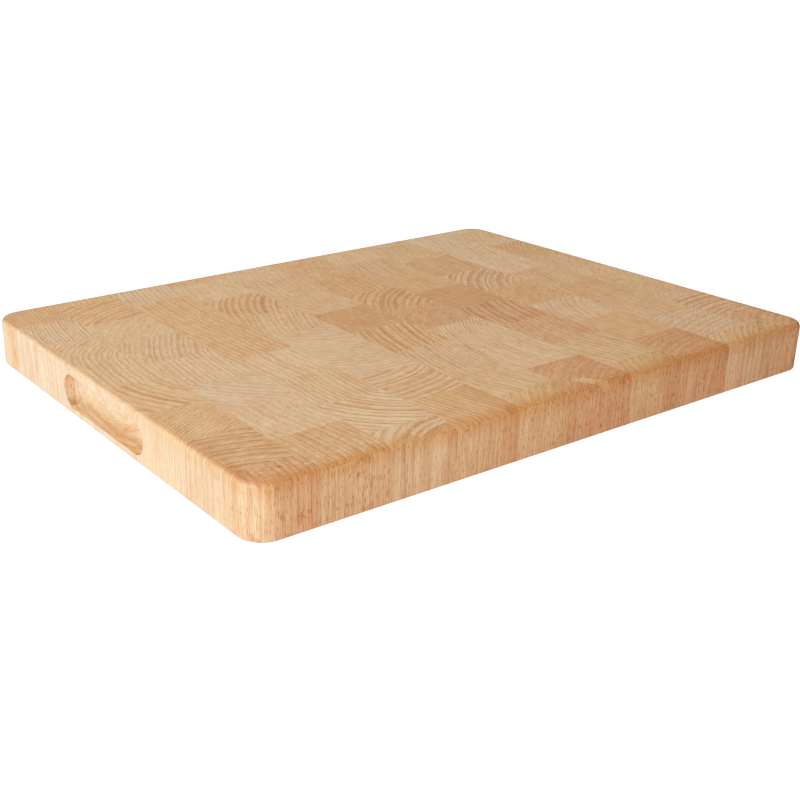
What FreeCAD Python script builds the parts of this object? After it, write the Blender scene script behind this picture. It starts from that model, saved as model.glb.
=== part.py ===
"""End-grain cutting board in beech.

Square sticks are glued side by side into a panel, and the panel is cut across into strips.  The
strips stand on end, so that the end grain faces up, and are glued to one another with every
second strip slid along by half a block.  The glued blank is then trimmed, its edges are rounded
and a finger grip is routed into each end.

Units are millimetres.  The origin is the centre of the underside.  X runs along the board, Y
across it and Z up.  Strips are numbered from the -X end and the blocks of a strip from the -Y
side.
"""
import FreeCAD, Part
import Sketcher
import os

OUT_DIR = "parts"

STRIPS = 10
ROWS = 8
SLIDE = 0.5  # how far the even strips are slid along, as a share of a block

TOLERANCE = 1e-4  # lengths that differ by less are the same
VOLUME_TOLERANCE = 1e-5  # the same for two volumes, as a share of them

# Driving dimensions: alias, value, meaning.
DIMENSIONS = [
    ("board_length", 400.0, "finished length, along X"),
    ("board_width", 300.0, "finished width, along Y"),
    ("board_thick", 30.0, "finished thickness, along Z"),
    ("block_pitch", 41.1, "one square block and its glue line"),
    ("glue_line", 0.15, "thickness of a cured glue line"),
    ("first_strip", 35.2, "what the trim saw leaves of strip 1"),
    ("first_row", 18.2, "what the trim saw leaves of row 1 in the odd strips"),
    ("blank_allowance", 3.0, "how far the glued blank stands past the finished board"),
    ("corner_radius", 14.0, "upright corners"),
    ("top_round", 3.7, "rounding around the top"),
    ("bottom_round", 1.5, "rounding around the underside"),
    ("grip_length", 95.0, "finger grip, end to end"),
    ("grip_height", 19.0, "finger grip, top to bottom"),
    ("grip_centre", 14.0, "middle of the finger grip above the underside"),
    ("grip_depth", 12.0, "finger grip, mouth to back"),
    ("grip_cove", 8.5, "cove between the grip's walls and its back"),
    ("grip_mouth_round", 0.6, "eased edge around the grip's mouth"),
]


def make_sheet(doc):
    """The spreadsheet that drives every other object."""
    sheet = doc.addObject("Spreadsheet::Sheet", "dims")
    for line, (alias, value, meaning) in enumerate(DIMENSIONS, start=1):
        sheet.set(f"A{line}", alias)
        sheet.set(f"B{line}", str(value))
        sheet.set(f"C{line}", meaning)
        sheet.setAlias(f"B{line}", alias)
    doc.recompute()
    return sheet


# The machined board: the shape that the trim saw, router and sander leave -----------------------

# How Sketcher numbers the points of a piece of geometry, its own origin and its Y axis.
START, END, CENTRE = 1, 2, 3
ORIGIN = -1
VERTICAL_AXIS = -2


def origin_plane(body, role):
    """One of a body's own origin planes."""
    return next(item for item in body.Origin.OriginFeatures if item.Role == role)


def new_sketch(body, name, role):
    """An empty sketch flat on one of the body's origin planes."""
    sketch = body.newObject("Sketcher::SketchObject", name)
    sketch.AttachmentSupport = [(origin_plane(body, role), "")]
    sketch.MapMode = "FlatFace"
    return sketch


def add_dimension(sketch, name, expression, *what):
    """Adds a named dimension to a sketch and binds it to the sheet."""
    index = sketch.addConstraint(Sketcher.Constraint(*what))
    sketch.renameConstraint(index, name)
    sketch.setExpression(f"Constraints.{name}", expression)


def draw_outline(sketch, sheet):
    """The board's plan, a rectangle centred on the sketch's origin."""
    corners = [(-1, -1), (1, -1), (1, 1), (-1, 1)]
    points = [FreeCAD.Vector(x * sheet.board_length / 2, y * sheet.board_width / 2, 0)
              for x, y in corners]
    for start, end in zip(points, points[1:] + points[:1]):
        sketch.addGeometry(Part.LineSegment(start, end), False)
    for side in range(4):
        sketch.addConstraint(Sketcher.Constraint("Coincident", side, END, (side + 1) % 4, START))
        direction = "Horizontal" if side % 2 == 0 else "Vertical"
        sketch.addConstraint(Sketcher.Constraint(direction, side))
    sketch.addConstraint(Sketcher.Constraint("Symmetric", 0, START, 2, START, ORIGIN, START))
    front = (0, START, 0, END, sheet.board_length)
    right = (1, START, 1, END, sheet.board_width)
    add_dimension(sketch, "length", "dims.board_length", "DistanceX", *front)
    add_dimension(sketch, "width", "dims.board_width", "DistanceY", *right)


def draw_grip(sketch, sheet):
    """The finger grip's mouth: a round-ended slot, halfway along at the sketch's Y axis."""
    radius = sheet.grip_height / 2
    straight = sheet.grip_length - sheet.grip_height
    left = FreeCAD.Vector(-straight / 2, sheet.grip_centre, 0)
    right = FreeCAD.Vector(straight / 2, sheet.grip_centre, 0)
    up = FreeCAD.Vector(0, radius, 0)
    out = FreeCAD.Vector(radius, 0, 0)
    left_arc = sketch.addGeometry(Part.Arc(left + up, left - out, left - up), False)
    lower_line = sketch.addGeometry(Part.LineSegment(left - up, right - up), False)
    right_arc = sketch.addGeometry(Part.Arc(right - up, right + out, right + up), False)
    upper_line = sketch.addGeometry(Part.LineSegment(right + up, left + up), False)
    loop = [left_arc, lower_line, right_arc, upper_line]
    for this, following in zip(loop, loop[1:] + loop[:1]):
        sketch.addConstraint(Sketcher.Constraint("Tangent", this, END, following, START))
    ends = (lower_line, START, lower_line, END)
    sketch.addConstraint(Sketcher.Constraint("Symmetric", *ends, VERTICAL_AXIS))
    rise = (ORIGIN, START, left_arc, CENTRE, sheet.grip_centre)
    centres = (left_arc, CENTRE, right_arc, CENTRE, straight)
    add_dimension(sketch, "radius", "dims.grip_height / 2", "Radius", left_arc, radius)
    add_dimension(sketch, "rise", "dims.grip_centre", "DistanceY", *rise)
    add_dimension(sketch, "straight", "dims.grip_length - dims.grip_height", "DistanceX", *centres)


def edges_where(feature, test):
    """Names of the feature's edges whose every sampled point passes the test."""
    names = []
    for number, edge in enumerate(feature.Shape.Edges, start=1):
        first, last = edge.ParameterRange
        points = [edge.valueAt(first + part * (last - first)) for part in (0.0, 0.5, 1.0)]
        if all(test(point) for point in points):
            names.append(f"Edge{number}")
    return names


def add_fillet(body, base, name, radius, test):
    """Rounds the edges of base that pass the test."""
    fillet = body.newObject("PartDesign::Fillet", name)
    fillet.Base = (base, edges_where(base, test))
    fillet.setExpression("Radius", radius)
    body.Document.recompute()
    return fillet


def is_close(a, b):
    """True for two lengths that are the same to within rounding."""
    return abs(a - b) < TOLERANCE


def add_grip(body, base, sheet, side):
    """Routes the finger grip of one end; side is -1 for the -X end and 1 for the +X end."""
    name = "left_grip" if side < 0 else "right_grip"
    sketch = new_sketch(body, f"{name}_outline", "YZ_Plane")
    sketch.setExpression("AttachmentOffset.Base.z", f"{side} * dims.board_length / 2")
    draw_grip(sketch, sheet)
    body.Document.recompute()

    pocket = body.newObject("PartDesign::Pocket", name)
    pocket.Profile = sketch
    pocket.Reversed = side < 0
    pocket.setExpression("Length", "dims.grip_depth")
    body.Document.recompute()
    if is_close(pocket.Shape.Volume, base.Shape.Volume):
        raise RuntimeError(f"{name} removes no wood")

    end_x = side * sheet.board_length / 2
    back_x = end_x - side * sheet.grip_depth
    mouth_bottom = sheet.grip_centre - sheet.grip_height / 2
    mouth_top = sheet.grip_centre + sheet.grip_height / 2

    def on_back(point):
        return is_close(point.x, back_x)

    def on_mouth(point):
        level = mouth_bottom - TOLERANCE < point.z < mouth_top + TOLERANCE
        across = abs(point.y) < sheet.grip_length / 2 + TOLERANCE
        return is_close(point.x, end_x) and level and across

    cove = add_fillet(body, pocket, f"{name}_cove", "dims.grip_cove", on_back)
    return add_fillet(body, cove, f"{name}_mouth", "dims.grip_mouth_round", on_mouth)


def make_machined_board(doc, sheet):
    """The finished outer shape of the whole board, which every piece is cut to."""
    body = doc.addObject("PartDesign::Body", "machined_board")
    outline = new_sketch(body, "board_outline", "XY_Plane")
    draw_outline(outline, sheet)
    doc.recompute()

    slab = body.newObject("PartDesign::Pad", "slab")
    slab.Profile = outline
    slab.setExpression("Length", "dims.board_thick")
    doc.recompute()

    def upright(point):
        at_end = is_close(abs(point.x), sheet.board_length / 2)
        return at_end and is_close(abs(point.y), sheet.board_width / 2)

    def on_top(point):
        return is_close(point.z, sheet.board_thick)

    def on_underside(point):
        return is_close(point.z, 0)

    shape = add_fillet(body, slab, "corner_rounds", "dims.corner_radius", upright)
    shape = add_fillet(body, shape, "top_rounds", "dims.top_round", on_top)
    shape = add_fillet(body, shape, "underside_rounds", "dims.bottom_round", on_underside)
    for side in (-1, 1):
        shape = add_grip(body, shape, sheet, side)
    body.Tip = shape
    doc.recompute()
    return body


# The glued blank: rough blocks and the glue films between them ----------------------------------

def strip_plane(index):
    """X of the glue plane between strip index and the next one."""
    return f"(dims.first_strip - dims.board_length / 2 + {index - 1} * dims.block_pitch)"


def row_plane(strip, index):
    """Y of the glue plane between row index of a strip and the next one."""
    blocks = index - 1 + (SLIDE if strip % 2 == 0 else 0)
    return f"(dims.first_row - dims.board_width / 2 + {blocks} * dims.block_pitch)"


def strip_span(strip):
    """Low and high X of a strip's wood; the outer strips reach past the finished board."""
    low = f"({strip_plane(strip - 1)} + dims.glue_line / 2)"
    high = f"({strip_plane(strip)} - dims.glue_line / 2)"
    if strip == 1:
        low = "(-dims.board_length / 2 - dims.blank_allowance)"
    if strip == STRIPS:
        high = "(dims.board_length / 2 + dims.blank_allowance)"
    return low, high


def row_span(strip, row):
    """Low and high Y of a block; the outer rows reach past the finished board."""
    low = f"({row_plane(strip, row - 1)} + dims.glue_line / 2)"
    high = f"({row_plane(strip, row)} - dims.glue_line / 2)"
    if row == 1:
        low = "(-dims.board_width / 2 - dims.blank_allowance)"
    if row == ROWS:
        high = "(dims.board_width / 2 + dims.blank_allowance)"
    return low, high


def film_span(plane):
    """Low and high side of the glue film on a glue plane."""
    return f"({plane} - dims.glue_line / 2)", f"({plane} + dims.glue_line / 2)"


def full_width():
    """Low and high Y of the glued blank."""
    return row_span(1, 1)[0], row_span(1, ROWS)[1]


def make_rough_box(doc, name, x_span, y_span):
    """One box of the glued blank, as thick as the blank before it is planed."""
    box = doc.addObject("Part::Box", name)
    z_span = ("(-dims.blank_allowance)", "(dims.board_thick + dims.blank_allowance)")
    spans = zip(("x", "y", "z"), ("Length", "Width", "Height"), (x_span, y_span, z_span))
    for axis, size, (low, high) in spans:
        box.setExpression(f"Placement.Base.{axis}", low)
        box.setExpression(size, f"{high} - {low}")
    return box


def make_rough_blocks(doc, strip, rows):
    """The rough blocks of some rows of a strip."""
    x_span = strip_span(strip)
    return [make_rough_box(doc, f"rough_block_{strip}_{row}", x_span, row_span(strip, row))
            for row in rows]


def make_row_films(doc, strip):
    """The glue films between the neighbouring blocks of a strip."""
    x_span = strip_span(strip)
    return [make_rough_box(doc, f"rough_film_{strip}_{row}", x_span,
                           film_span(row_plane(strip, row)))
            for row in range(1, ROWS)]


# The finished pieces ----------------------------------------------------------------------------

def cut_to_board(doc, name, rough_boxes, board):
    """What the machining leaves of some boxes of the blank: one named sub-part."""
    rough = rough_boxes[0]
    if len(rough_boxes) > 1:
        rough = doc.addObject("Part::Compound", f"rough_{name}")
        rough.Links = rough_boxes
    piece = doc.addObject("Part::Common", name)
    piece.Base = rough
    piece.Tool = board
    piece.Label = name
    return piece, len(rough_boxes)


def make_end_strip(doc, strip, board):
    """An outer strip, one sub-part per block: the edges and the finger grip make them differ."""
    return [cut_to_board(doc, f"strip_{strip:02d}_block_{row}",
                         make_rough_blocks(doc, strip, [row]), board)
            for row in range(1, ROWS + 1)]


def make_middle_strip(doc, strip, board):
    """A strip away from the ends: two rounded end blocks and the identical ones between them.

    The identical blocks make two sub-parts, every second block in each.
    """
    groups = {
        "front_block": [1],
        "even_blocks": range(2, ROWS, 2),
        "odd_blocks": range(3, ROWS, 2),
        "back_block": [ROWS],
    }
    return [cut_to_board(doc, f"strip_{strip:02d}_{group}",
                         make_rough_blocks(doc, strip, rows), board)
            for group, rows in groups.items()]


def make_strip(doc, strip, board):
    """The blocks of one strip and the glue between them."""
    make_blocks = make_end_strip if strip in (1, STRIPS) else make_middle_strip
    films = make_row_films(doc, strip)
    glue = cut_to_board(doc, f"strip_{strip:02d}_glue_lines", films, board)
    return make_blocks(doc, strip, board) + [glue]


def make_strip_joints(doc, board):
    """The glue films between neighbouring strips."""
    films = [make_rough_box(doc, f"rough_joint_{strip}", film_span(strip_plane(strip)), full_width())
             for strip in range(1, STRIPS)]
    return cut_to_board(doc, "strip_joint_glue_lines", films, board)


def make_pieces(doc, board):
    """Every sub-part, each with the number of solids it should hold."""
    pieces = []
    for strip in range(1, STRIPS + 1):
        pieces += make_strip(doc, strip, board)
    pieces.append(make_strip_joints(doc, board))
    return pieces


# Checks and export ------------------------------------------------------------------------------

def check_document(doc):
    """Stops the build if any object failed to compute or has a bad shape."""
    for item in doc.Objects:
        if {"Invalid", "Error"} & set(item.State):
            raise RuntimeError(f"{item.Label} did not compute: {item.State}")
        if hasattr(item, "Shape") and item.TypeId != "App::Plane":
            if item.Shape.isNull() or not item.Shape.isValid():
                raise RuntimeError(f"{item.Label} has a bad shape")


def check_pieces(pieces, board):
    """Stops the build if a piece was lost, or if the pieces don't fill the board exactly."""
    for piece, count in pieces:
        if len(piece.Shape.Solids) != count:
            raise RuntimeError(f"{piece.Label} has {len(piece.Shape.Solids)} solids, not {count}")
    total = sum(piece.Shape.Volume for piece, _ in pieces)
    if abs(total / board.Shape.Volume - 1) > VOLUME_TOLERANCE:
        raise RuntimeError("the pieces don't add up to the board")
    print(f"{len(pieces)} sub-parts, {total / 1000:.1f} cm3")


def main():
    doc = FreeCAD.newDocument("cutting_board")
    sheet = make_sheet(doc)
    board = make_machined_board(doc, sheet)
    pieces = make_pieces(doc, board)
    doc.recompute()
    check_document(doc)
    check_pieces(pieces, board)
    os.makedirs(OUT_DIR, exist_ok=True)
    for piece, _ in pieces:
        piece.Shape.exportStep(f"{OUT_DIR}/{piece.Label}.step")


main()
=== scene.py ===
"""Looks of the end-grain cutting board: one finely meshed piece per beech block, and its glue lines.

Every block is a box of the CAD model wrapped onto the rounded board, and the finger grips are cut
out of it. The wood is one procedural material. It is solid: growth rings are cylinders around a pith
that each block places for itself, so the end grain on top shows arcs and the sides show stripes, and
they meet at the edges.

Lengths are metres in the geometry and millimetres in the material.
"""

import math
import random
from collections import namedtuple

import bmesh
import bpy
from mathutils import Matrix, Vector


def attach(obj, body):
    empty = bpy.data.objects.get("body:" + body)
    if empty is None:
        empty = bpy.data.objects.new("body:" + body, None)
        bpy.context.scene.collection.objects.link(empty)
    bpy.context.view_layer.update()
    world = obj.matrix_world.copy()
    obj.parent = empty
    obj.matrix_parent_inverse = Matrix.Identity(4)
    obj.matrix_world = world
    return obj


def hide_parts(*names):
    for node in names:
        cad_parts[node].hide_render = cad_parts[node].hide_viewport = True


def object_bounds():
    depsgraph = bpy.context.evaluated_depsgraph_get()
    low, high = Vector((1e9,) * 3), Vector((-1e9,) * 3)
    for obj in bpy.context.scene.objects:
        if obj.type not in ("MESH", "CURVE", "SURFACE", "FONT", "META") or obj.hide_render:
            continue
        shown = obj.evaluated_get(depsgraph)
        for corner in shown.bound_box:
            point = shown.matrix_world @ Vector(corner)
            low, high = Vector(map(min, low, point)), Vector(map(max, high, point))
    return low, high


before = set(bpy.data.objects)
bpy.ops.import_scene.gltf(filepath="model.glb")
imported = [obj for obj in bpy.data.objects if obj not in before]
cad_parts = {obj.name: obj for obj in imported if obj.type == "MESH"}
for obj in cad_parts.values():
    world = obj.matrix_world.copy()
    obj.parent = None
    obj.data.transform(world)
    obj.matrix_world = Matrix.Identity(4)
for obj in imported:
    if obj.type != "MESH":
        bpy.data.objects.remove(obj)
CAD_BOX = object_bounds()

MM = 0.001

# The machined shape of the board, which the CAD boxes don't tell.
CORNER_RADIUS = 14.0 * MM
TOP_ROUND = 3.7 * MM
UNDERSIDE_ROUND = 1.5 * MM
GRIP_LENGTH = 95.0 * MM
GRIP_HEIGHT = 19.0 * MM
GRIP_CENTRE = 14.0 * MM
GRIP_DEPTH = 12.0 * MM
GRIP_COVE = 8.5 * MM
GRIP_MOUTH_ROUND = 0.6 * MM

# How finely it is meshed.
GRID_STEP = 2.6 * MM
CORNER_STEPS = 8
EDGE_STEPS = 5
GRIP_END_STEPS = 28
COVE_STEPS = 12
MOUTH_STEPS = 4
CLOSEST_LINES = 0.1 * MM
ARRIS = 0.07 * MM
ARRIS_ANGLE = math.radians(60)
SMOOTH_ANGLE = math.radians(32)
SAME_PLACE = 0.001 * MM
PLACE_DIGITS = 5

# The cutter of a grip reaches past the board's end, beginning just outside it.
CUTTER_SPREAD = 1.05 * GRIP_MOUTH_ROUND
CUTTER_REACH = 2 * GRIP_MOUTH_ROUND
CUTTER_CLEARANCE = 0.03 * MM

STRIPS = 10
ROWS = 8

LOW, HIGH = CAD_BOX
HALF_LENGTH = (HIGH.x - LOW.x) / 2
HALF_WIDTH = (HIGH.y - LOW.y) / 2
THICK = HIGH.z - LOW.z


# Meshing ----------------------------------------------------------------------------------------

def solid_boxes(node):
    """The box of each separate solid of a CAD node, from the front of the board to the back."""
    bm = bmesh.new()
    bm.from_mesh(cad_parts[node].data)
    bmesh.ops.remove_doubles(bm, verts=bm.verts, dist=SAME_PLACE)
    boxes = []
    unseen = set(bm.verts)
    while unseen:
        pending = [unseen.pop()]
        low = pending[0].co.copy()
        high = pending[0].co.copy()
        while pending:
            vert = pending.pop()
            low = Vector(map(min, low, vert.co))
            high = Vector(map(max, high, vert.co))
            around = {edge.other_vert(vert) for edge in vert.link_edges} & unseen
            unseen -= around
            pending.extend(around)
        boxes.append((low, high))
    bm.free()
    return sorted(boxes, key=lambda box: (round(box[0].y, PLACE_DIGITS),
                                          round(box[0].x, PLACE_DIGITS)))


def square_to_disc(u, v):
    """Maps the unit square onto a quarter disc, leaving the two sides on the axes in place."""
    return u * math.sqrt(1 - v * v / 2), v * math.sqrt(1 - u * u / 2)


def round_edge(inward, depth, radius):
    """Rounds one edge: a point's distances from its two faces, before and after."""
    u = max(0.0, 1 - inward / radius)
    v = max(0.0, 1 - depth / radius)
    if u == 0 or v == 0:
        return inward, depth
    u, v = square_to_disc(u, v)
    return radius * (1 - u), radius * (1 - v)


def wrap_to_board(point):
    """Moves a point of the square-cornered board to its place in the rounded one."""
    centre_x = HALF_LENGTH - CORNER_RADIUS
    centre_y = HALF_WIDTH - CORNER_RADIUS
    x, y, z = abs(point.x), abs(point.y), point.z
    u = max(0.0, (x - centre_x) / CORNER_RADIUS)
    v = max(0.0, (y - centre_y) / CORNER_RADIUS)
    if u > 0 and v > 0:
        u, v = square_to_disc(u, v)
        x = centre_x + CORNER_RADIUS * u
        y = centre_y + CORNER_RADIUS * v
    outward = Vector((u, v))
    if outward.length == 0:
        return point
    inward = CORNER_RADIUS * (1 - outward.length)
    outward.normalize()
    new_inward, depth = round_edge(inward, THICK - z, TOP_ROUND)
    z = THICK - depth
    new_inward, z = round_edge(new_inward, z, UNDERSIDE_ROUND)
    x += outward.x * (inward - new_inward)
    y += outward.y * (inward - new_inward)
    return Vector((math.copysign(x, point.x), math.copysign(y, point.y), z))


def rounding_lines(radius, steps):
    """Distances from an edge at which grid lines make even steps around its rounding."""
    step = math.radians(45) / steps
    return [radius * (1 - math.sqrt(2) * math.sin(step * i)) for i in range(steps + 1)]


def merge_lines(lines, low, high):
    """Sorts grid lines and drops those that lie too close together or outside the span."""
    kept = [low]
    for line in sorted(lines):
        if line - kept[-1] > CLOSEST_LINES and high - line > CLOSEST_LINES:
            kept.append(line)
    return kept + [high]


def grid_lines(low, high, half, is_corner):
    """Grid lines along X or Y: even ones, and close ones where the board's edge is rounded."""
    count = max(1, round((high - low) / GRID_STEP))
    lines = [low + (high - low) * i / count for i in range(1, count)]
    distances = rounding_lines(TOP_ROUND, EDGE_STEPS)
    if is_corner:
        distances += rounding_lines(CORNER_RADIUS, CORNER_STEPS)
    reach = max(distances)
    for side in (-1, 1):
        edge = side * half
        if low <= edge + SAME_PLACE and edge - SAME_PLACE <= high:
            lines = [line for line in lines if abs(line - edge) > reach]
            lines += [edge - side * distance for distance in distances]
    return merge_lines(lines, low, high)


def height_lines():
    """Grid lines through the thickness, close together at the rounded top and underside."""
    count = round(THICK / GRID_STEP)
    lines = [THICK * i / count for i in range(1, count)]
    lines = [line for line in lines if UNDERSIDE_ROUND < line < THICK - TOP_ROUND]
    lines += rounding_lines(UNDERSIDE_ROUND, EDGE_STEPS)
    lines += [THICK - distance for distance in rounding_lines(TOP_ROUND, EDGE_STEPS)]
    return merge_lines(lines, 0.0, THICK)


def add_box_grid(bm, lines):
    """Adds the surface of a box as a grid of squares, closed and facing outwards."""
    last = [len(axis_lines) - 1 for axis_lines in lines]
    verts = {}

    def vert(index):
        if index not in verts:
            verts[index] = bm.verts.new([lines[axis][index[axis]] for axis in range(3)])
        return verts[index]

    for axis in range(3):
        across, up = (axis + 1) % 3, (axis + 2) % 3
        for side in (0, last[axis]):
            for a in range(last[across]):
                for b in range(last[up]):
                    corners = [(a, b), (a + 1, b), (a + 1, b + 1), (a, b + 1)]
                    if side == 0:
                        corners.reverse()
                    face = []
                    for i, j in corners:
                        index = [0, 0, 0]
                        index[axis], index[across], index[up] = side, i, j
                        face.append(vert(tuple(index)))
                    bm.faces.new(face)


def ease_arrises(bm):
    """Takes the sharpness off the edges that are still square."""
    sharp = [edge for edge in bm.edges if edge.calc_face_angle(0.0) > ARRIS_ANGLE]
    bmesh.ops.bevel(bm, geom=sharp, offset=ARRIS, segments=1, profile=0.5, affect="EDGES")


def board_mesh(name, boxes, arris=True):
    """A mesh of CAD boxes wrapped onto the rounded board."""
    bm = bmesh.new()
    for low, high in boxes:
        at_end_x = max(abs(low.x), abs(high.x)) > HALF_LENGTH - CORNER_RADIUS
        at_end_y = max(abs(low.y), abs(high.y)) > HALF_WIDTH - CORNER_RADIUS
        is_corner = at_end_x and at_end_y
        add_box_grid(bm, [grid_lines(low.x, high.x, HALF_LENGTH, is_corner),
                          grid_lines(low.y, high.y, HALF_WIDTH, is_corner),
                          height_lines()])
    for vert in bm.verts:
        vert.co = wrap_to_board(vert.co)
    if arris:
        ease_arrises(bm)
    mesh = bpy.data.meshes.new(name)
    bm.to_mesh(mesh)
    bm.free()
    return mesh


def new_object(name, data):
    """Adds an object to the scene."""
    obj = bpy.data.objects.new(name, data)
    bpy.context.scene.collection.objects.link(obj)
    return obj


# Finger grips -----------------------------------------------------------------------------------

def grip_profile():
    """The grip's section from mouth to back: how far outside its outline, and how deep."""
    lip = GRIP_MOUTH_ROUND
    wall_end = GRIP_DEPTH - GRIP_COVE
    profile = [(CUTTER_SPREAD, -CUTTER_REACH), (CUTTER_SPREAD, -CUTTER_CLEARANCE)]
    for i in range(1, MOUTH_STEPS + 1):
        turn = math.radians(90) * i / MOUTH_STEPS
        profile.append((lip * (1 - math.sin(turn)), lip * (1 - math.cos(turn))))
    profile.append((0.0, wall_end))
    for i in range(1, COVE_STEPS + 1):
        turn = math.radians(90) * i / COVE_STEPS
        profile.append((-GRIP_COVE * (1 - math.cos(turn)), wall_end + GRIP_COVE * math.sin(turn)))
    return profile


def grip_ring(bm, side, offset, depth):
    """One ring of the cutter: a round-ended slot, seen along X."""
    radius = GRIP_HEIGHT / 2 + offset
    reach = GRIP_LENGTH / 2 - GRIP_HEIGHT / 2
    x = side * (HALF_LENGTH - depth)
    ring = []
    for end in (1, -1):
        for i in range(GRIP_END_STEPS + 1):
            turn = math.radians(-90 * end + 180 * i / GRIP_END_STEPS)
            y = end * reach + radius * math.cos(turn)
            z = GRIP_CENTRE + radius * math.sin(turn)
            ring.append(bm.verts.new((x, y, z)))
    return ring


def grip_cutter(side):
    """A solid in the shape of one finger grip's hollow."""
    bm = bmesh.new()
    rings = [grip_ring(bm, side, offset, depth) for offset, depth in grip_profile()]
    for ring, following in zip(rings, rings[1:]):
        for i in range(len(ring)):
            j = (i + 1) % len(ring)
            bm.faces.new([ring[i], ring[j], following[j], following[i]])
    bm.faces.new(rings[0])
    bm.faces.new(rings[-1])
    bmesh.ops.recalc_face_normals(bm, faces=bm.faces)
    mesh = bpy.data.meshes.new("grip_cutter")
    bm.to_mesh(mesh)
    bm.free()
    return new_object("grip_cutter", mesh)


def cut_grips(pieces):
    """Cuts the two finger grips out of the pieces that they cross."""
    for side in (-1, 1):
        cutter = grip_cutter(side)
        for piece in pieces:
            ends = [side * corner[0] for corner in piece.bound_box]
            sides = [corner[1] for corner in piece.bound_box]
            crosses = min(sides) < GRIP_LENGTH / 2 and max(sides) > -GRIP_LENGTH / 2
            if max(ends) < HALF_LENGTH - GRIP_DEPTH or not crosses:
                continue
            cut = piece.modifiers.new("grip", "BOOLEAN")
            cut.operation = "DIFFERENCE"
            cut.solver = "EXACT"
            cut.object = cutter
            bpy.context.view_layer.update()
            evaluated = piece.evaluated_get(bpy.context.evaluated_depsgraph_get())
            piece.data = bpy.data.meshes.new_from_object(evaluated)
            piece.modifiers.remove(cut)
        bpy.data.objects.remove(cutter)


def smooth_shade(piece):
    """Smooth rounded surfaces with flat ones kept flat."""
    piece.data.shade_smooth()
    piece.data.set_sharp_from_angle(angle=SMOOTH_ANGLE)
    weighted = piece.modifiers.new("flat_faces_stay_flat", "WEIGHTED_NORMAL")
    weighted.keep_sharp = True


# Materials --------------------------------------------------------------------------------------

# Sockets of the mix node when it mixes colours: its factor and its two colours, and its result.
MIX_COLOUR_INPUTS = (0, 6, 7)
MIX_COLOUR_OUTPUT = 2


class Nodes:
    """Adds nodes to a material's tree. Any input takes a value or another node's socket."""

    def __init__(self, tree):
        self.tree = tree
        tree.nodes.clear()

    def add(self, kind, inputs=None, **settings):
        node = self.tree.nodes.new(kind)
        for name, value in settings.items():
            setattr(node, name, value)
        for name, value in (inputs or {}).items():
            if isinstance(value, bpy.types.NodeSocket):
                self.tree.links.new(value, node.inputs[name])
            else:
                node.inputs[name].default_value = value
        return node

    def math(self, operation, *values):
        node = self.add("ShaderNodeMath", dict(enumerate(values)), operation=operation)
        return node.outputs[0]

    def vector(self, operation, *values):
        node = self.add("ShaderNodeVectorMath", dict(enumerate(values)), operation=operation)
        return node.outputs["Value" if operation == "LENGTH" else "Vector"]

    def combine(self, x, y, z):
        return self.add("ShaderNodeCombineXYZ", {"X": x, "Y": y, "Z": z}).outputs[0]

    def separate(self, vector):
        return self.add("ShaderNodeSeparateXYZ", {"Vector": vector}).outputs

    def smoothstep(self, value, low, high, to_low=0.0, to_high=1.0):
        inputs = {"Value": value, "From Min": low, "From Max": high,
                  "To Min": to_low, "To Max": to_high}
        node = self.add("ShaderNodeMapRange", inputs, interpolation_type="SMOOTHSTEP")
        return node.outputs[0]

    def mix(self, factor, a, b, blend="MIX"):
        node = self.add("ShaderNodeMix", data_type="RGBA", blend_type=blend)
        for index, value in zip(MIX_COLOUR_INPUTS, (factor, a, b)):
            if isinstance(value, bpy.types.NodeSocket):
                self.tree.links.new(value, node.inputs[index])
            else:
                node.inputs[index].default_value = value
        return node.outputs[MIX_COLOUR_OUTPUT]

    def tint(self, base, amount, tint):
        """The base colour times a tint, as strongly as the amount says."""
        strength = self.mix(amount, rgb(1, 1, 1), rgb(*tint))
        return self.mix(1.0, base, strength, "MULTIPLY")

    def stretch(self, vector, x, y, z):
        return self.vector("MULTIPLY", vector, (x, y, z))

    def noise(self, vector, scale=1.0, detail=0.0, roughness=0.5, output="Fac"):
        inputs = {"Vector": vector, "Scale": scale, "Detail": detail, "Roughness": roughness}
        return self.add("ShaderNodeTexNoise", inputs).outputs[output]

    def shift(self, vector, scale, detail, distance):
        """A noise that moves a place by up to about the distance each way."""
        noise = self.noise(vector, scale, detail, output="Color")
        centred = self.vector("SUBTRACT", noise, (0.5, 0.5, 0.5))
        return self.stretch(centred, distance, distance, distance)

    def attribute(self, name, output="Vector"):
        node = self.add("ShaderNodeAttribute", attribute_type="OBJECT", attribute_name=name)
        return node.outputs[output]


def rgb(red, green, blue):
    """A colour for a node input."""
    return (red, green, blue, 1.0)


# One texture of the wood: how its noise is stretched along each axis, the noise's detail and
# roughness, the values at which its tint begins and is full, how strong it then is, and the tint.
Texture = namedtuple("Texture", "stretch detail roughness begins full strength tint")

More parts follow.
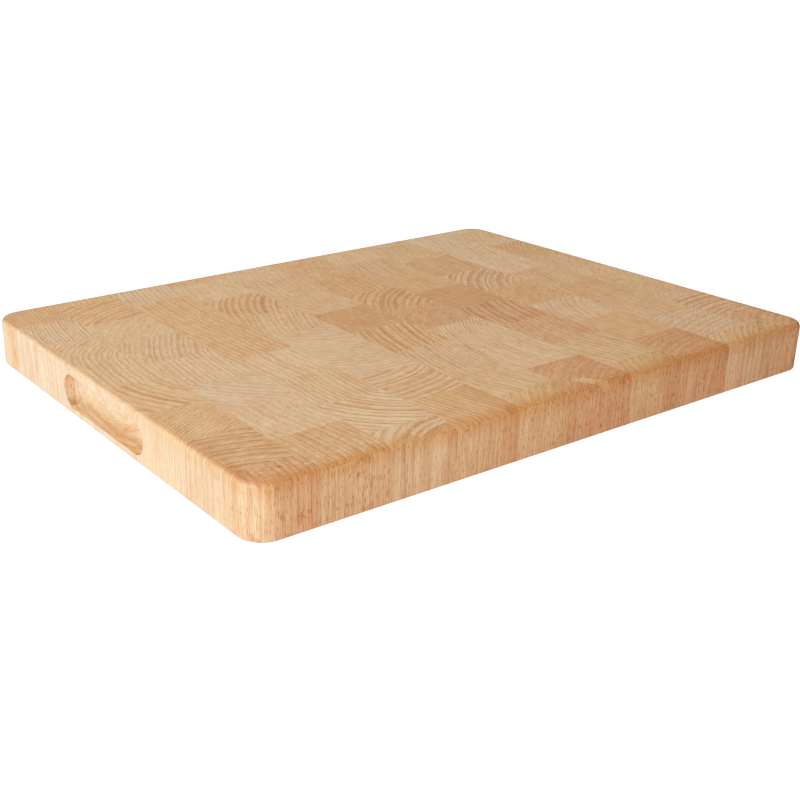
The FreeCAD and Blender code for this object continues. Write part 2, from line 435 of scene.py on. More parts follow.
TEXTURES = {
    "threads": Texture((0.22, 1.9, 0.04), 1.0, 0.5, 0.38, 0.68, 0.8, (0.74, 0.64, 0.54)),
    "blush": Texture((0.055, 0.055, 0.0165), 2.0, 0.6, 0.50, 0.85, 1.0, (0.97, 0.83, 0.76)),
    "mottle": Texture((0.10, 0.10, 0.04), 3.0, 0.6, 0.40, 0.70, 0.6, (0.88, 0.81, 0.76)),
    "pale_rays": Texture((1.4, 0.25, 0.12), 1.0, 0.5, 0.56, 0.70, 0.9, (1.16, 1.26, 1.40)),
    "dark_rays": Texture((1.4, 0.25, 0.12), 1.0, 0.5, 0.44, 0.30, 0.9, (0.82, 0.74, 0.66)),
    "flecks": Texture((1.8, 1.8, 0.28), 1.0, 0.5, 0.54, 0.68, 1.0, (0.56, 0.44, 0.36)),
    "fibres": Texture((1.5, 1.5, 0.06), 1.0, 0.5, 0.45, 0.75, 0.5, (0.78, 0.70, 0.62)),
    "pores": Texture((3.2, 3.2, 0.16), 2.0, 0.7, 0.50, 0.70, 0.75, (0.74, 0.64, 0.56)),
    "marks": Texture((0.17, 0.17, 0.15), 2.0, 0.6, 0.60, 0.66, 1.0, (0.66, 0.46, 0.32)),
}

# Tints of the growth rings, of broad bands of them, and of scars.
LATE_WOOD_TINT = (0.62, 0.48, 0.36)
EARLY_WOOD_TINT = (1.06, 1.10, 1.16)
DARK_BAND_TINT = (0.80, 0.64, 0.48)
PALE_BAND_TINT = (1.10, 1.16, 1.25)
CHIP_TINT = (1.22, 1.50, 1.80)
CRACK_TINT = (0.62, 0.50, 0.42)

# Tints of a block's right side and left side where it darkens from left to right.
RIGHT_TINT = (0.88, 0.80, 0.72)
LEFT_TINT = (1.05, 1.10, 1.14)

# How long grain differs from a block's own tone, and how cut grain on the rounded edges does.
TAN_SHARE = 0.2
SIDE_TINT = (1.08, 1.00, 1.00)
EDGE_TINT = (0.94, 0.84, 0.71)
END_EDGE_TINT = (0.67, 0.63, 0.70)

# Oil in the rounded edges: its noise's scale and detail, and the noise values at which there is
# least and most of it. Darkening that spreads from the top edge, partly oil soaked in and partly
# painted shade that leaves the sides lighter towards the bottom, as the floor's bounce light does:
# its reach in millimetres, and its share at the back of the board.
EDGE_OIL_NOISE = (0.06, 2.0)
EDGE_OIL_RANGE = (0.35, 0.65)
LEAST_EDGE_OIL = 0.5
SOAK_AND_SHADE_TINT = (0.90, 0.79, 0.63)
SOAK_AND_SHADE_REACH = (11.0, 2.5)
SOAK_AND_SHADE_AT_THE_BACK = 0.3

# How steeply a surface faces up or down where it starts to be cut grain, and where it is.
OBLIQUE_GRAIN = (0.25, 0.65)
END_GRAIN = (0.96, 0.9995)
END_EDGE = (0.55, 0.85)

# Growth rings: the parts of a year in which late and early wood come and go, how weak a year can
# be, and how many ring widths a ring can be astray.
LATE_WOOD_COMES = (0.35, 0.80)
LATE_WOOD_GOES = (1.0, 0.92)
EARLY_WOOD_COMES = (0.0, 0.08)
EARLY_WOOD_GOES = (0.45, 0.15)
WEAK_YEARS = (0.0, 0.9)
WEAKEST_YEAR = 0.6
RINGS_ASTRAY = 1.4

# Fainter stretches of the late wood: how their noise is stretched, its values where they are
# faintest and where they end, and how faint they get.
GAP_STRETCH = (0.45, 0.9, 0.05)
GAP_RANGE = (0.3, 0.6)
FAINTEST_GAP = 0.65

# Noise that changes only with the distance from the pith: how far apart two blocks' places in it
# are, its scale and its detail, for ring widths and for broad bands; and when a band is full.
WIDTH_NOISE = (131.0, 0.14, 1.0)
BAND_NOISE = (211.0, 0.13, 2.0)
FULL_BAND = 0.5

# How far apart in the noise two blocks are, and two blocks' years.
BLOCKS_APART = 977.0
YEARS_APART = 57.0

# Along the fibre the wood changes this much slower than across it. It bends twice, widely and
# closely: the noise's scale and detail, and how far in millimetres.
ALONG_FIBRE = 0.12
BENDS = ((0.03, 0.0, 2.5), (0.3, 1.0, 0.35))

# How strong the rings are on the sides at the most, and the flecks on the end grain.
SIDE_CONTRAST = 0.5
FLECKS_ON_END_GRAIN = 0.35

# A scar ends between these depths in millimetres, and between these distances from its centre,
# made ragged by noise of this scale and detail.
SCAR_DEPTH = (6.0, 4.0)
SCAR_OUTLINE = (1.6, 1.3)
SCAR_NOISE = (0.5, 1.0)

# Surface: height of the late wood's ridges and of the pores in millimetres, and roughness.
RIDGES = 0.012
PORE_DEPTH = -0.02
RELIEF_STRENGTH = 0.5
LONG_GRAIN_ROUGHNESS = 0.48
END_GRAIN_ROUGHNESS = 0.52
PORE_ROUGHNESS = 0.18
SHEEN = 0.3


def texture_noise(n, name, place):
    """The noise of one of the wood's textures."""
    texture = TEXTURES[name]
    stretched = n.stretch(place, *texture.stretch)
    return n.noise(stretched, 1.0, texture.detail, texture.roughness)


def add_texture(n, base, name, place, amount=1.0):
    """Tints the wood with one of its textures, as strongly as the amount says."""
    texture = TEXTURES[name]
    noise = texture_noise(n, name, place)
    shown = n.smoothstep(noise, texture.begins, texture.full, 0.0, texture.strength)
    return n.tint(base, n.math("MULTIPLY", shown, amount), texture.tint)


def around_pith(n, place, seeded):
    """A point's distance around its block's pith and from it, and its height."""
    fibre = n.stretch(seeded, 1.0, 1.0, ALONG_FIBRE)
    bent = place
    for bend in BENDS:
        bent = n.vector("ADD", bent, n.shift(fibre, *bend))
    bent = n.separate(bent)
    pith = n.separate(n.attribute("wood_pith"))
    from_pith_x = n.math("SUBTRACT", bent["X"], pith["X"])
    from_pith_y = n.math("SUBTRACT", bent["Y"], pith["Y"])
    radius = n.vector("LENGTH", n.combine(from_pith_x, from_pith_y, 0.0))
    around = n.math("MULTIPLY", n.math("ARCTAN2", from_pith_y, from_pith_x), radius)
    return around, radius, bent["Z"]


def noise_from_pith(n, radius, seed, apart, scale, detail):
    """A noise that changes only with the distance from the pith."""
    return n.noise(n.combine(radius, n.math("MULTIPLY", seed, apart), 0.0), scale, detail)


def growth_rings(n, radius, spacing, seed):
    """A point's share of late and of early wood, and broad bands of good and bad years."""
    astray = n.math("MULTIPLY", noise_from_pith(n, radius, seed, *WIDTH_NOISE), RINGS_ASTRAY)
    phase = n.math("ADD", n.math("DIVIDE", radius, spacing), astray)
    part = n.math("FRACT", phase)
    late_wood = n.math("MULTIPLY", n.smoothstep(part, *LATE_WOOD_COMES),
                       n.smoothstep(part, *LATE_WOOD_GOES))
    early_wood = n.math("MULTIPLY", n.smoothstep(part, *EARLY_WOOD_COMES),
                        n.smoothstep(part, *EARLY_WOOD_GOES))
    year = n.combine(n.math("FLOOR", phase), n.math("MULTIPLY", seed, YEARS_APART), 0.0)
    chance = n.add("ShaderNodeTexWhiteNoise", {"Vector": year}).outputs["Value"]
    strength = n.smoothstep(chance, *WEAK_YEARS, WEAKEST_YEAR, 1.0)
    late_wood = n.math("MULTIPLY", late_wood, strength)
    bands = n.math("SUBTRACT", noise_from_pith(n, radius, seed, *BAND_NOISE), 0.5)
    return late_wood, early_wood, bands


def broken_late_wood(n, late_wood, polar):
    """Late wood that is fainter here and there along a ring."""
    gaps = n.noise(n.stretch(polar, *GAP_STRETCH), 1.0, 1.0)
    return n.math("MULTIPLY", late_wood, n.smoothstep(gaps, *GAP_RANGE, FAINTEST_GAP, 1.0))


def oil_soak_and_painted_shade(n, place):
    """How darkened a point near the board's upper edge is, mostly in front.

    Partly oil soaked in from the edge, partly painted shade that leaves the sides lighter towards
    the bottom, as the floor's bounce light does.
    """
    centre = ((HALF_LENGTH - CORNER_RADIUS) / MM, (HALF_WIDTH - CORNER_RADIUS) / MM, 0.0)
    beyond = n.vector("SUBTRACT", n.vector("ABSOLUTE", place), centre)
    beyond = n.stretch(n.vector("MAXIMUM", beyond, (0.0, 0.0, 0.0)), 1.0, 1.0, 0.0)
    inward = n.math("SUBTRACT", CORNER_RADIUS / MM, n.vector("LENGTH", beyond))
    axes = n.separate(place)
    depth = n.math("SUBTRACT", THICK / MM, axes["Z"])
    from_edge = n.vector("LENGTH", n.combine(inward, depth, 0.0))
    in_front = n.smoothstep(axes["Y"], 0.0, -HALF_WIDTH / MM, SOAK_AND_SHADE_AT_THE_BACK, 1.0)
    return n.math("MULTIPLY", n.smoothstep(from_edge, *SOAK_AND_SHADE_REACH), in_front)


def end_edges(n, place, upward):
    """Where the top edge rounds over at the board's two ends."""
    from_middle = n.math("ABSOLUTE", n.separate(place)["X"])
    at_end = n.smoothstep(from_middle, (HALF_LENGTH - CORNER_RADIUS) / MM, HALF_LENGTH / MM)
    return n.math("MULTIPLY", at_end, n.smoothstep(upward, *END_EDGE))


def plain_colour(n, place, upward, end_grain):
    """Colour of the end grain, of the long grain, and of the rounded edge between them.

    On the edge the fibres are cut at a slant and drink most oil. Near the top edge, most of all in
    front, the wood is darker, partly from oil that has spread there and partly as painted shade that
    leaves the sides lighter towards the bottom. The top edges at the board's two ends are darker
    still.
    """
    tone = n.attribute("wood_tone", "Color")
    side = n.tint(n.mix(TAN_SHARE, tone, rgb(*TONES["tan"])), 1.0, SIDE_TINT)
    oil = n.smoothstep(n.noise(place, *EDGE_OIL_NOISE), *EDGE_OIL_RANGE, LEAST_EDGE_OIL, 1.0)
    edge = n.tint(tone, oil, EDGE_TINT)
    edge = n.tint(edge, end_edges(n, place, upward), END_EDGE_TINT)
    oblique = n.smoothstep(n.math("ABSOLUTE", upward), *OBLIQUE_GRAIN)
    base = n.mix(end_grain, n.mix(oblique, side, edge), tone)
    # Darker near the top edge, mostly in front: partly oil soak, partly painted shade standing in for
    # the floor's bounce light.
    return n.tint(base, oil_soak_and_painted_shade(n, place), SOAK_AND_SHADE_TINT)


def add_drift(n, base, place):
    """Darkens some blocks from left to right."""
    drift = n.separate(n.attribute("wood_drift"))
    across = n.math("SUBTRACT", n.separate(place)["X"], drift["X"])
    darker = n.math("MULTIPLY", across, drift["Y"])
    base = n.tint(base, n.smoothstep(darker, 0.0, 1.0), RIGHT_TINT)
    return n.tint(base, n.smoothstep(darker, 0.0, -1.0), LEFT_TINT)


def add_rings(n, base, rings, contrast, end_grain):
    """Tints early and late wood, and broad bands of rings. On the sides all are quieter."""
    late_wood, early_wood, band = rings
    side_contrast = n.smoothstep(contrast, 0.0, 1.0, 0.0, SIDE_CONTRAST)
    contrast = n.smoothstep(end_grain, 0.0, 1.0, side_contrast, contrast)
    base = n.tint(base, n.math("MULTIPLY", late_wood, contrast), LATE_WOOD_TINT)
    base = n.tint(base, n.math("MULTIPLY", early_wood, contrast), EARLY_WOOD_TINT)
    bands = n.attribute("wood_bands", "Fac")
    side_bands = n.math("MULTIPLY", bands, side_contrast)
    streak = n.math("MULTIPLY", band, n.smoothstep(end_grain, 0.0, 1.0, side_bands, bands))
    base = n.tint(base, n.smoothstep(streak, 0.0, FULL_BAND), DARK_BAND_TINT)
    return n.tint(base, n.smoothstep(streak, 0.0, -FULL_BAND), PALE_BAND_TINT)


def scar_mask(n, place):
    """How far a point is inside the block's scar, if it has one. Scars are shallow."""
    centre = n.separate(n.attribute("wood_scar_place"))
    size = n.attribute("wood_scar_size")
    from_centre = n.vector("SUBTRACT", place, n.combine(centre["X"], centre["Y"], 0.0))
    turned = n.add("ShaderNodeVectorRotate", {"Vector": from_centre, "Angle": centre["Z"]},
                   rotation_type="Z_AXIS", invert=True).outputs[0]
    scaled = n.vector("MULTIPLY", n.vector("DIVIDE", turned, size), (1.0, 1.0, 0.0))
    distance = n.math("ADD", n.vector("LENGTH", scaled), n.noise(place, *SCAR_NOISE))
    depth = n.math("SUBTRACT", THICK / MM, n.separate(place)["Z"])
    return n.math("MULTIPLY", n.smoothstep(distance, *SCAR_OUTLINE),
                  n.smoothstep(depth, *SCAR_DEPTH))


def add_faults(n, base, place, seeded, end_grain):
    """Tints brown flecks, which are plainest on the sides, brown marks, and scars."""
    faults = n.separate(n.attribute("wood_faults"))
    on_side = n.smoothstep(end_grain, 0.0, 1.0, 1.0, FLECKS_ON_END_GRAIN)
    base = add_texture(n, base, "flecks", seeded, n.math("MULTIPLY", faults["X"], on_side))
    base = add_texture(n, base, "marks", seeded, faults["Y"])
    scar = n.math("MULTIPLY", scar_mask(n, place), faults["Z"])
    base = n.tint(base, scar, CHIP_TINT)
    return n.tint(base, n.math("MULTIPLY", scar, -1.0), CRACK_TINT)


def add_grain(n, base, seeded, polar, end_grain):
    """Tints fine threads, blotches, fibres and pores, and on the end grain the wood's rays.

    Rays run out from the pith and stand upright. On the sides they end as the brown flecks.
    """
    base = add_texture(n, base, "threads", polar)
    for name in ("blush", "mottle", "fibres", "pores"):
        base = add_texture(n, base, name, seeded)
    for name in ("pale_rays", "dark_rays"):
        base = add_texture(n, base, name, polar, end_grain)
    return base


def beech_material():
    """Oiled beech, cut from a solid block with its own pith, ring width and tone."""
    material = bpy.data.materials.new("oiled_beech")
    material.use_nodes = True
    n = Nodes(material.node_tree)
    rings = n.separate(n.attribute("wood_rings"))
    spacing, contrast, seed = rings["X"], rings["Y"], rings["Z"]

    # Place in the board in millimetres, and the direction that the surface faces.
    place = n.stretch(n.add("ShaderNodeTexCoord").outputs["Object"], 1 / MM, 1 / MM, 1 / MM)
    seeded = n.vector("ADD", place,
                      n.combine(0.0, 0.0, n.math("MULTIPLY", seed, BLOCKS_APART)))
    upward = n.separate(n.add("ShaderNodeNewGeometry").outputs["Normal"])["Z"]
    end_grain = n.smoothstep(n.math("ABSOLUTE", upward), *END_GRAIN)

    around, radius, height = around_pith(n, place, seeded)
    polar = n.combine(around, radius, height)
    late_wood, early_wood, band = growth_rings(n, radius, spacing, seed)
    late_wood = broken_late_wood(n, late_wood, polar)

    base = plain_colour(n, place, upward, end_grain)
    base = add_drift(n, base, place)
    base = add_rings(n, base, (late_wood, early_wood, band), contrast, end_grain)
    base = add_grain(n, base, seeded, polar, end_grain)
    base = add_faults(n, base, place, seeded, end_grain)

    # Relief: the early wood is sanded a little lower, and the pores are open.
    pores = texture_noise(n, "pores", seeded)
    relief = n.math("ADD", n.math("MULTIPLY", late_wood, RIDGES),
                    n.math("MULTIPLY", pores, PORE_DEPTH))
    bump_inputs = {"Strength": RELIEF_STRENGTH, "Distance": MM, "Height": relief}
    roughness = n.math("ADD", n.math("MULTIPLY", pores, PORE_ROUGHNESS),
                       n.smoothstep(end_grain, 0.0, 1.0,
                                    LONG_GRAIN_ROUGHNESS, END_GRAIN_ROUGHNESS))
    shader = n.add("ShaderNodeBsdfPrincipled", {
        "Base Color": base,
        "Roughness": roughness,
        "Specular IOR Level": SHEEN,
        "Normal": n.add("ShaderNodeBump", bump_inputs).outputs[0],
    })
    n.add("ShaderNodeOutputMaterial", {"Surface": shader.outputs[0]})
    return material


# Glue: its two colours, its noise's scale and detail, where that makes patches, and its surface.
GLUE_DARK = (0.36, 0.20, 0.085)
GLUE_LIGHT = (0.50, 0.31, 0.15)
GLUE_NOISE = (260.0, 3.0)
GLUE_PATCHES = (0.3, 0.7)
GLUE_ROUGHNESS = (0.5, 0.7)
GLUE_RELIEF = 0.2


def glue_material():
    """Cured wood glue, sanded flush: dull and a little darker than the wood."""
    material = bpy.data.materials.new("cured_glue")
    material.use_nodes = True
    n = Nodes(material.node_tree)
    place = n.add("ShaderNodeTexCoord").outputs["Object"]
    patches = n.noise(place, *GLUE_NOISE)
    bump_inputs = {"Strength": GLUE_RELIEF, "Distance": MM, "Height": patches}
    shader = n.add("ShaderNodeBsdfPrincipled", {
        "Base Color": n.mix(patches, rgb(*GLUE_DARK), rgb(*GLUE_LIGHT)),
        "Roughness": n.smoothstep(patches, *GLUE_PATCHES, *GLUE_ROUGHNESS),
        "Normal": n.add("ShaderNodeBump", bump_inputs).outputs[0],
    })
    n.add("ShaderNodeOutputMaterial", {"Surface": shader.outputs[0]})
    return material


# The character of each block --------------------------------------------------------------------

# Colours of the end grain.
TONES = {
    "cream": (0.695, 0.450, 0.225),
    "pale": (0.675, 0.410, 0.195),
    "grey": (0.645, 0.400, 0.195),
    "tan": (0.650, 0.375, 0.170),
    "gold": (0.645, 0.350, 0.145),
    "orange": (0.620, 0.325, 0.130),
    "pink": (0.605, 0.320, 0.140),
    "brown": (0.580, 0.295, 0.120),
    "amber": (0.570, 0.270, 0.105),
}

# Ring width in millimetres, how strongly the rings show, and how strongly broad bands of them do.
RINGS = {
    "plain": (4.8, 0.22, 0.6),
    "faint": (4.4, 0.42, 0.7),
    "fine": (2.3, 0.85, 0.7),
    "clear": (3.5, 0.60, 0.8),
    "bold": (5.0, 0.80, 1.3),
}

# Distance from the middle of the block to the pith, in millimetres.
PITH = {"near": 38.0, "mid": 75.0, "far": 220.0}

# Tone, rings, bearing of the pith in degrees from +X towards +Y, and how far off it is. One line a
# strip's block, from the front of the board to the back.
CHARACTER = {
    1: [("amber", "clear", 175, "far"), ("brown", "bold", -105, "mid"),
        ("gold", "fine", -70, "mid"), ("gold", "bold", 20, "mid"), ("tan", "clear", -5, "far"),
        ("tan", "clear", -40, "near"), ("grey", "fine", -10, "far"), ("orange", "fine", -5, "far")],
    2: [("orange", "clear", 185, "far"), ("pale", "faint", 5, "far"), ("grey", "faint", 45, "far"),
        ("pale", "clear", -5, "far"), ("tan", "clear", -25, "far"), ("tan", "plain", -40, "mid"),
        ("gold", "bold", -65, "mid"), ("gold", "clear", 0, "far")],
    3: [("tan", "bold", -60, "near"), ("pale", "bold", 40, "mid"), ("tan", "clear", 0, "far"),
        ("pale", "faint", 5, "far"), ("gold", "clear", 5, "far"), ("gold", "faint", 5, "far"),
        ("gold", "faint", -5, "far"), ("grey", "clear", -10, "far")],
    4: [("orange", "clear", 15, "far"), ("tan", "bold", 100, "mid"), ("grey", "clear", 80, "mid"),
        ("pale", "faint", 65, "mid"), ("tan", "clear", -20, "far"), ("gold", "bold", -30, "mid"),
        ("pale", "plain", -15, "far"), ("gold", "plain", 0, "far")],
    5: [("orange", "faint", -40, "mid"), ("tan", "faint", 15, "far"), ("tan", "clear", -10, "far"),
        ("orange", "bold", -15, "far"), ("amber", "plain", 20, "mid"), ("tan", "faint", 15, "far"),
        ("tan", "faint", -10, "far"), ("pale", "plain", -20, "far")],
    6: [("amber", "faint", -55, "mid"), ("pale", "faint", 10, "mid"), ("pale", "fine", -20, "mid"),
        ("brown", "plain", -50, "mid"), ("orange", "bold", -45, "mid"),
        ("orange", "faint", -10, "far"), ("gold", "plain", -25, "far"), ("gold", "plain", 0, "far")],
    7: [("orange", "faint", -35, "mid"), ("tan", "faint", 10, "far"), ("pink", "faint", -10, "far"),
        ("brown", "bold", -15, "far"), ("amber", "plain", 20, "mid"), ("gold", "faint", 15, "far"),
        ("tan", "clear", -10, "far"), ("pale", "plain", -20, "far")],
    8: [("amber", "faint", -75, "mid"), ("gold", "plain", 10, "mid"), ("pale", "faint", -25, "mid"),
        ("orange", "plain", -50, "mid"), ("tan", "bold", -45, "mid"), ("orange", "faint", -10, "far"),
        ("tan", "plain", -25, "far"), ("grey", "plain", 0, "far")],
    9: [("tan", "clear", -45, "mid"), ("grey", "faint", -80, "far"), ("tan", "plain", -10, "far"),
        ("gold", "clear", -10, "far"), ("tan", "faint", -15, "far"), ("cream", "faint", 5, "far"),
        ("cream", "clear", -20, "far"), ("cream", "plain", -20, "far")],
    10: [("pink", "faint", -60, "mid"), ("tan", "bold", -85, "mid"), ("tan", "plain", -55, "mid"),
         ("pale", "plain", -40, "mid"), ("tan", "plain", -40, "mid"), ("gold", "clear", -30, "mid"),
         ("pale", "plain", -30, "far"), ("cream", "plain", 0, "far")],
}

# How much darker the right side of a block is than its left, by strip and row.
DRIFTS = {(4, 1): 0.9, (5, 1): 0.9, (6, 1): 0.5, (7, 1): 0.9, (8, 1): 0.6, (9, 1): 0.9, (10, 1): 0.3}

# How strongly brown marks show in the few blocks that have them, by strip and row.
MARKS = {(1, 1): 0.7, (2, 1): 0.4, (10, 1): 0.5, (1, 2): 0.3}

# Scars in the cutting face, by strip and row: centre X and Y in millimetres, bearing in degrees,
# half length, half width, and whether it is pale (1, a chip) or dark (-1, a crack or pin knot).
SCARS = {
    (6, 1): (15.0, -144.0, -44.0, 9.5, 3.6, 1.0),
    (9, 2): (139.5, -97.5, -64.0, 6.5, 0.45, -1.0),
    (2, 6): (-130.5, 84.0, 0.0, 1.0, 0.8, -1.0),
}
NO_SCAR = (0.0, 0.0, 0.0, 1.0, 1.0, 0.0)

# How much the blocks differ at random: the pith's bearing in degrees, its distance and the rings'
# width, each part of the tone, and the flecks, which show most where the rings are faint.
BEARING_SPREAD = (-2, 2)
SIZE_SPREAD = (0.9, 1.1)
TONE_SPREAD = (0.98, 1.02)
FLECK_SPREAD = (0.9, 1.2)
MOST_FLECKS = 1.4


def give_character(piece, strip, row, box):
    """Sets the properties that the beech material reads: tone, pith, rings and faults."""
    tone, rings, bearing, off = CHARACTER[strip][row - 1]
    low, high = box
    chance = random.Random(100 * strip + row)
    centre = (low + high) / 2 / MM
    bearing = math.radians(bearing + chance.uniform(*BEARING_SPREAD))
    distance = PITH[off] * chance.uniform(*SIZE_SPREAD)
    spacing, contrast, bands = RINGS[rings]
    piece["wood_tone"] = [part * chance.uniform(*TONE_SPREAD) for part in TONES[tone]]
    piece["wood_pith"] = [centre.x + distance * math.cos(bearing),
                          centre.y + distance * math.sin(bearing), 0.0]
    piece["wood_rings"] = [spacing * chance.uniform(*SIZE_SPREAD), contrast, chance.random()]
    piece["wood_bands"] = bands
    drift = DRIFTS.get((strip, row), 0.0)
    piece["wood_drift"] = [centre.x, drift * 2 * MM / (high.x - low.x), 0.0]
    flecks = chance.uniform(*FLECK_SPREAD) * (MOST_FLECKS - contrast)
    x, y, scar_bearing, half_length, half_width, pale = SCARS.get((strip, row), NO_SCAR)
    piece["wood_faults"] = [flecks, MARKS.get((strip, row), 0.0), pale]
    piece["wood_scar_place"] = [x, y, math.radians(scar_bearing)]
    piece["wood_scar_size"] = [half_length, half_width, 1.0]


# Pieces -----------------------------------------------------------------------------------------

def block_nodes():
    """Every CAD node of wood, with its strip and the rows of its solids."""
    for strip in range(1, STRIPS + 1):
        prefix = f"strip_{strip:02d}"
        if strip in (1, STRIPS):
            for row in range(1, ROWS + 1):
                yield f"{prefix}_block_{row}", strip, [row]
        else:
            yield f"{prefix}_front_block", strip, [1]
            yield f"{prefix}_even_blocks", strip, list(range(2, ROWS, 2))
            yield f"{prefix}_odd_blocks", strip, list(range(3, ROWS, 2))
            yield f"{prefix}_back_block", strip, [ROWS]


def finish_piece(piece, node, material):
    """Gives a piece its material, puts it under the root and hides the CAD node it stands for."""
    piece.data.materials.append(material)
    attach(piece, "root")
    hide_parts(node)


def make_blocks(material):
    """One piece for every block of beech."""
    blocks = []
    for node, strip, rows in block_nodes():
        for row, box in zip(rows, solid_boxes(node)):
            name = f"beech_strip_{strip:02d}_row_{row}"
            piece = new_object(name, board_mesh(name, [box]))
            give_character(piece, strip, row, box)
            blocks.append((piece, node))
    cut_grips([piece for piece, _ in blocks])
    for piece, node in blocks:
        smooth_shade(piece)
        finish_piece(piece, node, material)


def make_glue(material):
    """The films of glue, one piece for each CAD node of them."""
    films = []
    for node in sorted(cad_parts):
        if node.endswith("glue_lines"):
            name = node.replace("glue_lines", "glue_films")
            piece = new_object(name, board_mesh(name, solid_boxes(node), arris=False))
            films.append((piece, node))
    cut_grips([piece for piece, _ in films])
    for piece, node in films:
        smooth_shade(piece)
        finish_piece(piece, node, material)


# Stage ------------------------------------------------------------------------------------------

CAMERA_AZIMUTH = math.radians(-34.32)
CAMERA_ELEVATION = math.radians(21.91)
CAMERA_ROLL = math.radians(-0.30)
CAMERA_DISTANCE = 732.2 * MM
BOARD_RIGHT_OF_AIM = 60.0 * MM
BOARD_ABOVE_AIM = 23.0 * MM
CAMERA_LENS = 52.84
CAMERA_SENSOR = 36.0
LENS_SHIFT = 0.126
SHIFT_LOST_WITHIN = 10 * MM


def shift_lens(camera):
    """Shifts the lens sideways, but only while the camera stands in its own place."""
    viewpoint = new_object("viewpoint", None)
    viewpoint.location = camera.location
    curve = camera.data.driver_add("shift_x")
    curve.driver.type = "AVERAGE"
    moved = curve.driver.variables.new()
    moved.type = "LOC_DIFF"
    moved.targets[0].id = camera
    moved.targets[1].id = viewpoint
    curve.modifiers[0].coefficients = (LENS_SHIFT, -LENS_SHIFT / SHIFT_LOST_WITHIN)
    never_negative = curve.modifiers.new("LIMITS")
    never_negative.use_min_y = True


def make_camera():
    """Looks down on the board over its front left corner."""
    camera = new_object("camera", bpy.data.cameras.new("camera"))
    camera.data.lens = CAMERA_LENS
    camera.data.sensor_width = CAMERA_SENSOR
    azimuth, elevation, roll = CAMERA_AZIMUTH, CAMERA_ELEVATION, CAMERA_ROLL
    back = Vector((math.sin(azimuth) * math.cos(elevation),
                   -math.cos(azimuth) * math.cos(elevation),
                   math.sin(elevation)))
    level_right = Vector((math.cos(azimuth), math.sin(azimuth), 0.0))
    level_up = back.cross(level_right)
    right = level_right * math.cos(roll) + level_up * math.sin(roll)
    up = level_up * math.cos(roll) - level_right * math.sin(roll)
    place = back * CAMERA_DISTANCE - right * BOARD_RIGHT_OF_AIM - up * BOARD_ABOVE_AIM
    turn = Matrix((right, up, back)).transposed().to_4x4()
    camera.matrix_world = Matrix.Translation(place) @ turn
    shift_lens(camera)
    bpy.context.scene.camera = camera


FLOOR_GAP = 0.1 * MM
FLOOR_SIZE = 4.0
FLOOR_SQUARES = 8
FLOOR_COLOUR = (0.64, 0.61, 0.55)
FLOOR_GLOW = 2.2
TOUCHING = 2.0 * MM


def make_floor():
    """A pale floor that hides the underside neither from a camera nor from a lamp below it."""
    bm = bmesh.new()
    bmesh.ops.create_grid(bm, x_segments=FLOOR_SQUARES, y_segments=FLOOR_SQUARES,
                          size=FLOOR_SIZE)
    mesh = bpy.data.meshes.new("floor")
    bm.to_mesh(mesh)
    bm.free()
    floor = new_object("floor", mesh)
    floor.location.z = -FLOOR_GAP
    material = bpy.data.materials.new("pale_floor")
    material.use_nodes = True
    n = Nodes(material.node_tree)
    path = n.add("ShaderNodeLightPath").outputs
    behind = n.add("ShaderNodeNewGeometry").outputs["Backfacing"]
    under_board = n.math("LESS_THAN", path["Ray Length"], TOUCHING)
    matt = n.add("ShaderNodeBsdfDiffuse", {"Color": rgb(*FLOOR_COLOUR)}).outputs[0]
    glow_strength = n.math("MULTIPLY", path["Is Camera Ray"], FLOOR_GLOW)
    glow = n.add("ShaderNodeEmission", {"Strength": glow_strength}).outputs[0]
    lit = n.add("ShaderNodeAddShader", {0: matt, 1: glow}).outputs[0]
    clear = n.add("ShaderNodeBsdfTransparent").outputs[0]
    see_through = n.math("MAXIMUM", behind, under_board)
    surface = n.add("ShaderNodeMixShader", {0: see_through, 1: lit, 2: clear}).outputs[0]
    n.add("ShaderNodeOutputMaterial", {"Surface": surface})
    mesh.materials.append(material)


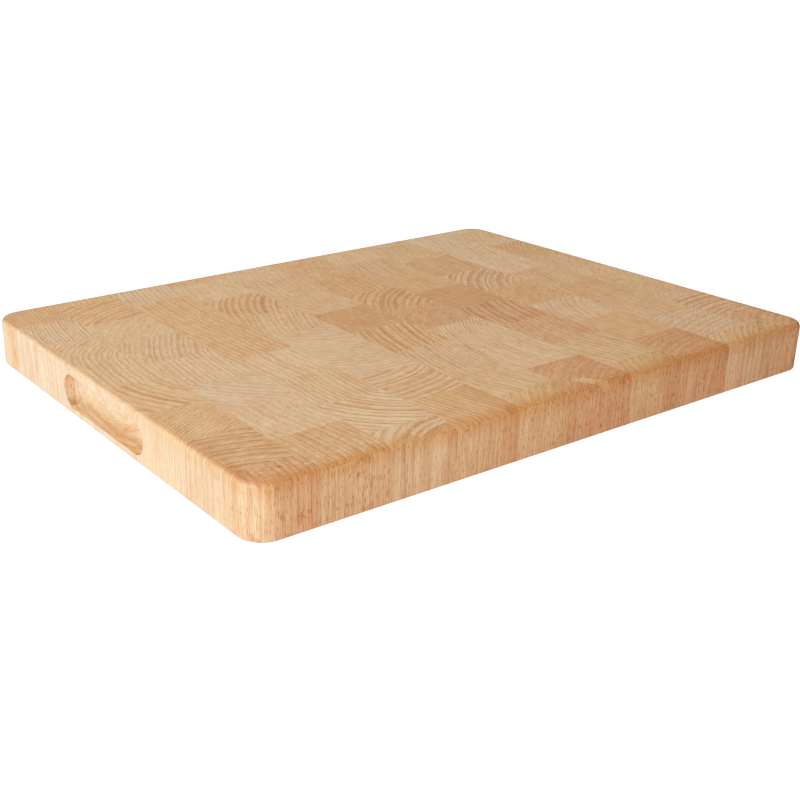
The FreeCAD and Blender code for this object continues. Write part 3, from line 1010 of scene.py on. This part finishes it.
# Each lamp's place, width and height in metres, power in watts, and colour.
DAYLIGHT = (0.97, 1.0, 1.26)
LAMPS = {
    "key": ((-1.10, -0.42, 0.28), 1.1, 0.5, 33.0, DAYLIGHT),
    "rear_fill": ((-1.0, 0.45, 0.3), 0.6, 0.4, 5.0, DAYLIGHT),
    "top": ((-0.3, 0.45, 2.0), 2.0, 2.0, 27.0, (1.0, 1.0, 1.04)),
    "underneath": ((-0.3, 0.0, -1.2), 1.5, 1.5, 14.0, (1.0, 1.0, 1.0)),
}
WORLD_COLOUR = (0.82, 0.80, 0.72)
WORLD_LIGHT = 0.45
WORLD_SEEN = 3.5


def add_softbox(name, place, width, height, power, colour):
    """A big oblong lamp aimed at the middle of the board."""
    lamp = bpy.data.lights.new(name, "AREA")
    lamp.shape = "RECTANGLE"
    lamp.size = width
    lamp.size_y = height
    lamp.energy = power
    lamp.color = colour
    obj = new_object(name, lamp)
    obj.location = place
    aim = Vector((0, 0, THICK)) - obj.location
    obj.rotation_euler = aim.to_track_quat("-Z", "Y").to_euler()


def make_light():
    """Soft studio light, strongest and lowest from the left."""
    world = bpy.data.worlds.new("studio")
    world.use_nodes = True
    n = Nodes(world.node_tree)
    seen = n.add("ShaderNodeLightPath").outputs["Is Camera Ray"]
    strength = n.smoothstep(seen, 0.0, 1.0, WORLD_LIGHT, WORLD_SEEN)
    background = n.add("ShaderNodeBackground",
                       {"Color": rgb(*WORLD_COLOUR), "Strength": strength})
    n.add("ShaderNodeOutputWorld", {"Surface": background.outputs[0]})
    bpy.context.scene.world = world
    for name, lamp in LAMPS.items():
        add_softbox(name, *lamp)


# Scene light and the display light that it makes.
SHOULDER = [(0.3, 0.33), (0.6, 0.56), (0.9, 0.71), (1.4, 0.88)]
WHITE = 2.3
ALL_CHANNELS = 3


def set_exposure():
    """A plain display with a soft shoulder, so that bright wood pales instead of clipping."""
    settings = bpy.context.scene.view_settings
    settings.view_transform = "Standard"
    settings.look = "None"
    settings.use_curve_mapping = True
    curves = settings.curve_mapping
    curves.white_level = (WHITE, WHITE, WHITE)
    for light, shown in SHOULDER:
        curves.curves[ALL_CHANNELS].points.new(light / WHITE, shown)
    curves.update()


# Everything -------------------------------------------------------------------------------------

make_blocks(beech_material())
make_glue(glue_material())
make_floor()
make_light()
make_camera()
set_exposure()
